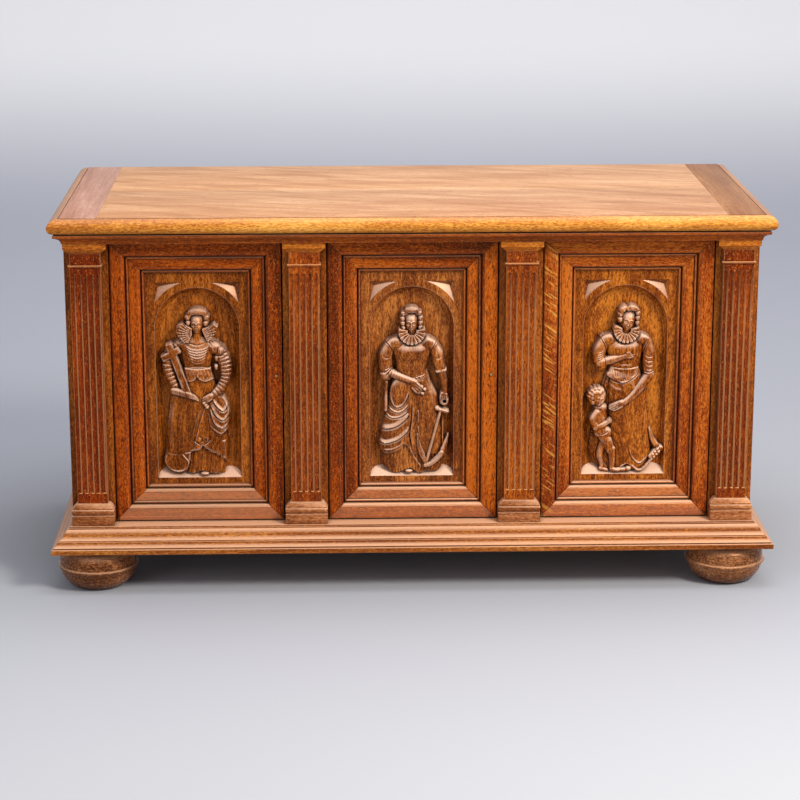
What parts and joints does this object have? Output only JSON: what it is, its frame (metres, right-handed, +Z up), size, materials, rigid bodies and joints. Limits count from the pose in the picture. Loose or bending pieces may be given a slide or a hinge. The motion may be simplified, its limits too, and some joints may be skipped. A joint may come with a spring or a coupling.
{
  "type": "cassone",
  "caption": "Low carved storage chest with a hinged moulded lid, fluted pilasters and pivoting framed doors with niche figures, on turned ball feet.",
  "frame": {"origin": "bottom centre of the whole chest, on the plane its feet stand on", "axes": "+X to the right seen from the front, -Y out of the front, +Z up"},
  "size_m": [1.374, 0.625, 0.722],
  "materials": {
    "waxed_oak": "waxed, red-brown",
    "carved_oak": "waxed carving",
    "lid_oak": "worn and paler",
    "dark_oak": "dark wax polish",
    "plain_oak": "unpolished",
    "aged_brass": "tarnished",
    "forged_iron": "forged, dark"
  },
  "bodies": {
    "carcass": {"back_boards": "plain_oak", "back_bottom_rail": "plain_oak", "back_top_rail": "plain_oak", "base_front": "waxed_oak", "base_left": "waxed_oak", "base_right": "waxed_oak", "capitals": "waxed_oak", "cornice_front": "waxed_oak", "cornice_left": "waxed_oak", "cornice_right": "waxed_oak", "door_pivot_plates": "aged_brass", "floor_bearers": "plain_oak", "floor_boards": "plain_oak", "foot_blocks": "plain_oak", "front_bottom_rail": "waxed_oak", "front_feet": "dark_oak", "front_top_rail": "waxed_oak", "lid_hinge_plates": "forged_iron", "pilaster_1": "carved_oak", "pilaster_2": "carved_oak", "pilaster_3": "carved_oak", "pilaster_4": "carved_oak", "plinth_blocks": "waxed_oak", "rear_feet": "dark_oak", "rear_post_left": "waxed_oak", "rear_post_right": "waxed_oak", "side_bottom_rail_left": "waxed_oak", "side_bottom_rail_right": "waxed_oak", "side_panel_left": "waxed_oak", "side_panel_right": "waxed_oak", "side_top_rail_left": "waxed_oak", "side_top_rail_right": "waxed_oak", "stile_1": "waxed_oak", "stile_2": "waxed_oak", "stile_3": "waxed_oak", "stile_4": "waxed_oak"},
    "lid": {"lid_battens": "plain_oak", "lid_board_back": "lid_oak", "lid_board_front": "lid_oak", "lid_cleat_left": "lid_oak", "lid_cleat_right": "lid_oak", "lid_hinge_leaves": "forged_iron", "lid_moulding_front": "waxed_oak", "lid_moulding_left": "waxed_oak", "lid_moulding_right": "waxed_oak"},
    "left_door": {"left_door_fittings": "aged_brass", "left_door_frame": "waxed_oak", "left_door_panel": "carved_oak"},
    "middle_door": {"middle_door_fittings": "aged_brass", "middle_door_frame": "waxed_oak", "middle_door_panel": "carved_oak"},
    "right_door": {"right_door_fittings": "aged_brass", "right_door_frame": "waxed_oak", "right_door_panel": "carved_oak"}
  },
  "joints": [
    {"name": "lid_hinge", "type": "hinge", "parent": "carcass", "child": "lid", "pos_m": [0, 0.3075, 0.694], "axis": [-1, 0, 0], "range_deg": [0, 95]},
    {"name": "left_door_pivot", "type": "hinge", "parent": "carcass", "child": "left_door", "pos_m": [-0.5607, -0.2415, 0.4005], "axis": [0, 0, -1], "range_deg": [0, 90]},
    {"name": "middle_door_pivot", "type": "hinge", "parent": "carcass", "child": "middle_door", "pos_m": [-0.1547, -0.2415, 0.4005], "axis": [0, 0, -1], "range_deg": [0, 90]},
    {"name": "right_door_pivot", "type": "hinge", "parent": "carcass", "child": "right_door", "pos_m": [0.2513, -0.2415, 0.4005], "axis": [0, 0, -1], "range_deg": [0, 90]}
  ]
}
